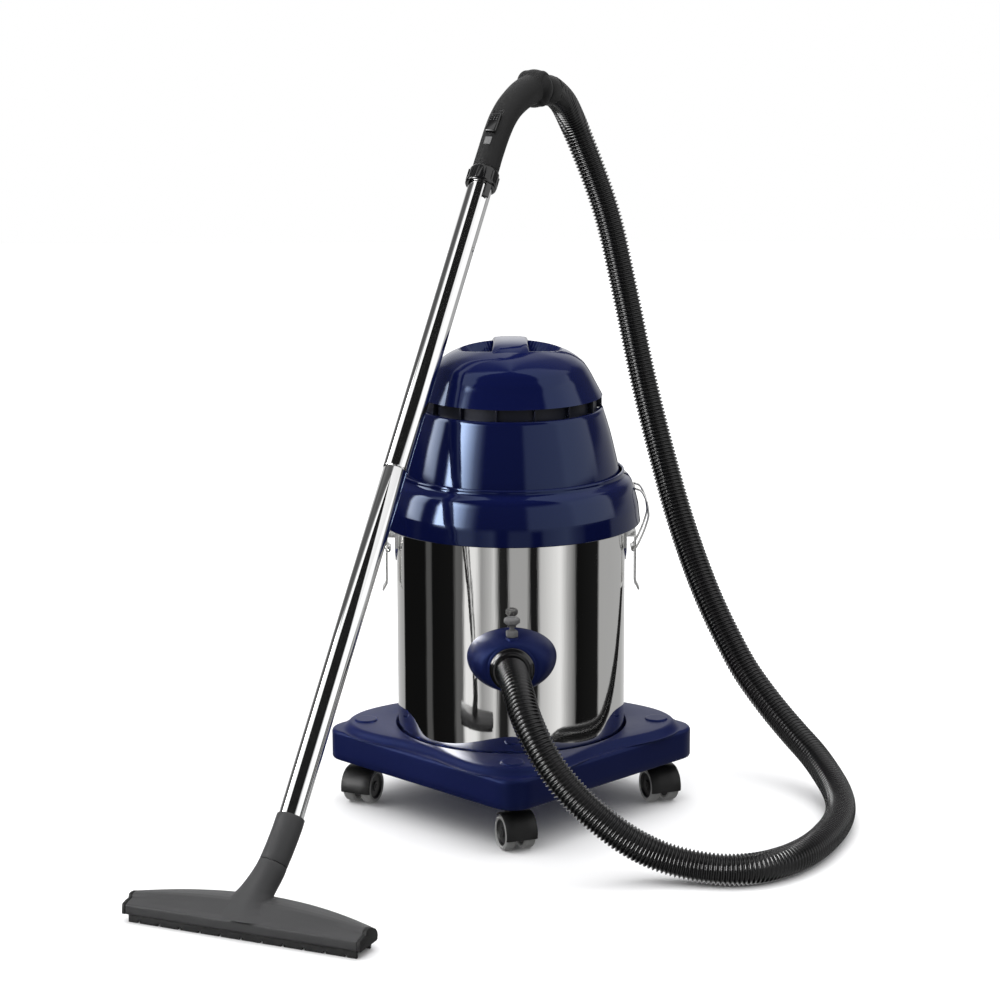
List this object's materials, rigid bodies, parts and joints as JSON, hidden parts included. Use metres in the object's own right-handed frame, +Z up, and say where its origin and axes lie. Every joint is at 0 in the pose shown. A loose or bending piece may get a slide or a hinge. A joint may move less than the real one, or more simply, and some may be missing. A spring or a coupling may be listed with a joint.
{
  "type": "canister wet and dry vacuum cleaner",
  "caption": "Steel drum vacuum cleaner for wet and dry dirt on a caster trolley, with motor head, hose, bent grip, wand and floor tool.",
  "frame": {"origin": "on the floor under the drum's axis", "axes": "+Z up along the drum's axis, -Y the way the hose inlet faces, +X to its right as seen from in front"},
  "size_m": [1.0017, 1.0687, 1.0489],
  "materials": {
    "blue": "glossy moulded plastic",
    "steel": "mirror polished stainless steel",
    "black": "semi-gloss moulded plastic",
    "graphite": "fine-textured dark grey plastic",
    "tyre_grey": "light grey non-marking tread",
    "knob_grey": "mid grey plastic",
    "zinc": "zinc-plated steel",
    "inner": "painted sheet and laminations",
    "filter": "needled felt",
    "rubber": "soft black rubber"
  },
  "bodies": {
    "base": {"caster_back_stem": "zinc", "caster_front_stem": "zinc", "caster_left_stem": "zinc", "caster_right_stem": "zinc", "grip": "black", "hose": "black", "inlet_elbow": "graphite", "inlet_flange": "blue", "inlet_nut": "graphite", "latch_left_bracket": "steel", "latch_right_bracket": "steel", "lock_nut": "knob_grey", "lower_tube": "steel", "strip_back": "rubber", "strip_front": "rubber", "tank": "steel", "tool_body": "graphite", "tool_cap_left": "black", "tool_cap_right": "black", "tool_sleeve": "graphite", "trolley": "blue", "upper_tube": "steel"},
    "caster_front_swivel": {"caster_front_hood": "graphite"},
    "caster_front_wheel_left": {"caster_front_wheel_left": "tyre_grey"},
    "caster_front_wheel_right": {"caster_front_wheel_right": "tyre_grey"},
    "caster_right_swivel": {"caster_right_hood": "graphite"},
    "caster_right_wheel_left": {"caster_right_wheel_left": "tyre_grey"},
    "caster_right_wheel_right": {"caster_right_wheel_right": "tyre_grey"},
    "caster_back_swivel": {"caster_back_hood": "graphite"},
    "caster_back_wheel_left": {"caster_back_wheel_left": "tyre_grey"},
    "caster_back_wheel_right": {"caster_back_wheel_right": "tyre_grey"},
    "caster_left_swivel": {"caster_left_hood": "graphite"},
    "caster_left_wheel_left": {"caster_left_wheel_left": "tyre_grey"},
    "caster_left_wheel_right": {"caster_left_wheel_right": "tyre_grey"},
    "head": {"head_rim": "blue", "motor_cover": "blue", "vent_ring": "black", "top_dome": "blue", "motor_plate": "inner", "fan_housing": "zinc", "motor": "inner", "cable_gland": "black", "head_seal": "rubber", "float_cage": "graphite", "filter_sleeve": "filter", "filter_clamp": "steel"},
    "fan_rotor": {"fan": "zinc"},
    "float_valve": {"float": "filter"},
    "switch": {"switch_rocker": "black"},
    "left_lever": {"latch_left_lever": "steel"},
    "left_bail": {"latch_left_bail": "steel"},
    "right_lever": {"latch_right_lever": "steel"},
    "right_bail": {"latch_right_bail": "steel"},
    "lock_pin": {"lock_pin": "knob_grey"},
    "inlet_cuff": {"hose_cuff_inlet": "black"},
    "grip_cuff": {"hose_cuff_grip": "black"},
    "bleed_slider": {"valve_slider": "graphite"},
    "lock_ring": {"lock_ring": "black"},
    "lower_button": {"lower_button": "zinc"},
    "upper_button": {"upper_button": "zinc"}
  },
  "joints": [
    {"name": "caster_front_swivel", "type": "hinge", "parent": "base", "child": "caster_front_swivel", "pos_m": [0, -0.2125, 0], "axis": [0, 0, 1], "continuous": true},
    {"name": "caster_front_roll_left", "type": "hinge", "parent": "caster_front_swivel", "child": "caster_front_wheel_left", "pos_m": [0.01735, -0.21895, 0.025], "axis": [0.9397, 0.342, 0], "continuous": true},
    {"name": "caster_front_roll_right", "type": "hinge", "parent": "caster_front_swivel", "child": "caster_front_wheel_right", "pos_m": [-0.00915, -0.2286, 0.025], "axis": [0.9397, 0.342, 0], "continuous": true},
    {"name": "caster_right_swivel", "type": "hinge", "parent": "base", "child": "caster_right_swivel", "pos_m": [0.2125, 0, 0], "axis": [0, 0, 1], "continuous": true},
    {"name": "caster_right_roll_left", "type": "hinge", "parent": "caster_right_swivel", "child": "caster_right_wheel_left", "pos_m": [0.22996, -0.00615, 0.025], "axis": [0.9336, 0.3584, 0], "continuous": true},
    {"name": "caster_right_roll_right", "type": "hinge", "parent": "caster_right_swivel", "child": "caster_right_wheel_right", "pos_m": [0.20364, -0.01626, 0.025], "axis": [0.9336, 0.3584, 0], "continuous": true},
    {"name": "caster_back_swivel", "type": "hinge", "parent": "base", "child": "caster_back_swivel", "pos_m": [0, 0.2125, 0], "axis": [0, 0, 1], "continuous": true},
    {"name": "caster_back_roll_left", "type": "hinge", "parent": "caster_back_swivel", "child": "caster_back_wheel_left", "pos_m": [0.01597, 0.20313, 0.025], "axis": [0.9848, 0.1736, 0], "continuous": true},
    {"name": "caster_back_roll_right", "type": "hinge", "parent": "caster_back_swivel", "child": "caster_back_wheel_right", "pos_m": [-0.0118, 0.19823, 0.025], "axis": [0.9848, 0.1736, 0], "continuous": true},
    {"name": "caster_left_swivel", "type": "hinge", "parent": "base", "child": "caster_left_swivel", "pos_m": [-0.2125, 0, 0], "axis": [0, 0, 1], "continuous": true},
    {"name": "caster_left_roll_left", "type": "hinge", "parent": "caster_left_swivel", "child": "caster_left_wheel_left", "pos_m": [-0.2045, -0.0167, 0.025], "axis": [0.9135, -0.4067, 0], "continuous": true},
    {"name": "caster_left_roll_right", "type": "hinge", "parent": "caster_left_swivel", "child": "caster_left_wheel_right", "pos_m": [-0.23026, -0.00523, 0.025], "axis": [0.9135, -0.4067, 0], "continuous": true},
    {"name": "head_lift", "type": "slide", "parent": "base", "child": "head", "axis": [0, 0, 1], "range_m": [0, 0.034]},
    {"name": "fan_spin", "type": "hinge", "parent": "head", "child": "fan_rotor", "pos_m": [0, 0, 0.48], "axis": [0, 0, 1], "continuous": true},
    {"name": "float_rise", "type": "slide", "parent": "head", "child": "float_valve", "axis": [0, 0, 1], "range_m": [0, 0.045]},
    {"name": "switch_tilt", "type": "hinge", "parent": "head", "child": "switch", "pos_m": [0, 0.13854, 0.549], "axis": [1, 0, 0], "range_deg": [0, 10]},
    {"name": "latch_left_lever_open", "type": "hinge", "parent": "base", "child": "left_lever", "pos_m": [-0.1765, 0, 0.404], "axis": [0, 1, 0], "range_deg": [0, 60]},
    {"name": "latch_left_bail_swing", "type": "hinge", "parent": "left_lever", "child": "left_bail", "pos_m": [-0.1765, 0, 0.379], "axis": [0, -1, 0], "range_deg": [0, 170]},
    {"name": "latch_right_lever_open", "type": "hinge", "parent": "base", "child": "right_lever", "pos_m": [0.1765, 0, 0.404], "axis": [0, -1, 0], "range_deg": [0, 60]},
    {"name": "latch_right_bail_swing", "type": "hinge", "parent": "right_lever", "child": "right_bail", "pos_m": [0.1765, 0, 0.379], "axis": [0, 1, 0], "range_deg": [0, 170]},
    {"name": "lock_pin_lift", "type": "slide", "parent": "base", "child": "lock_pin", "axis": [0, 0, 1], "range_m": [0, 0.005], "stiffness_N_per_m": 400},
    {"name": "inlet_cuff_turn", "type": "hinge", "parent": "base", "child": "inlet_cuff", "pos_m": [0, -0.205, 0.2525], "axis": [0, -1, 0], "continuous": true},
    {"name": "grip_cuff_turn", "type": "hinge", "parent": "base", "child": "grip_cuff", "pos_m": [0.04526, 0.28234, 1.0185], "axis": [0.4045, 0.9085, -0.1045], "continuous": true},
    {"name": "bleed_slide", "type": "slide", "parent": "base", "child": "bleed_slider", "axis": [0.2926, 0.6571, 0.6947], "range_m": [0, 0.01]},
    {"name": "lock_ring_turn", "type": "hinge", "parent": "base", "child": "lock_ring", "pos_m": [-0.03848, 0.09424, 0.90241], "axis": [0.2538, 0.5699, 0.7815], "range_deg": [0, 40]},
    {"name": "lower_button_press", "type": "slide", "parent": "base", "child": "lower_button", "axis": [0.9135, -0.4067, 0], "range_m": [0, 0.003], "stiffness_N_per_m": 500},
    {"name": "upper_button_press", "type": "slide", "parent": "base", "child": "upper_button", "axis": [-0.9135, 0.4067, 0], "range_m": [0, 0.003], "stiffness_N_per_m": 500}
  ],
  "couplings": [
    {"joint": "latch_left_lever_open", "follows": "head_lift", "rad_per_m": 30.797},
    {"joint": "latch_left_bail_swing", "follows": "head_lift", "rad_per_m": 87.258},
    {"joint": "latch_right_lever_open", "follows": "head_lift", "rad_per_m": 30.797},
    {"joint": "latch_right_bail_swing", "follows": "head_lift", "rad_per_m": 87.258}
  ]
}
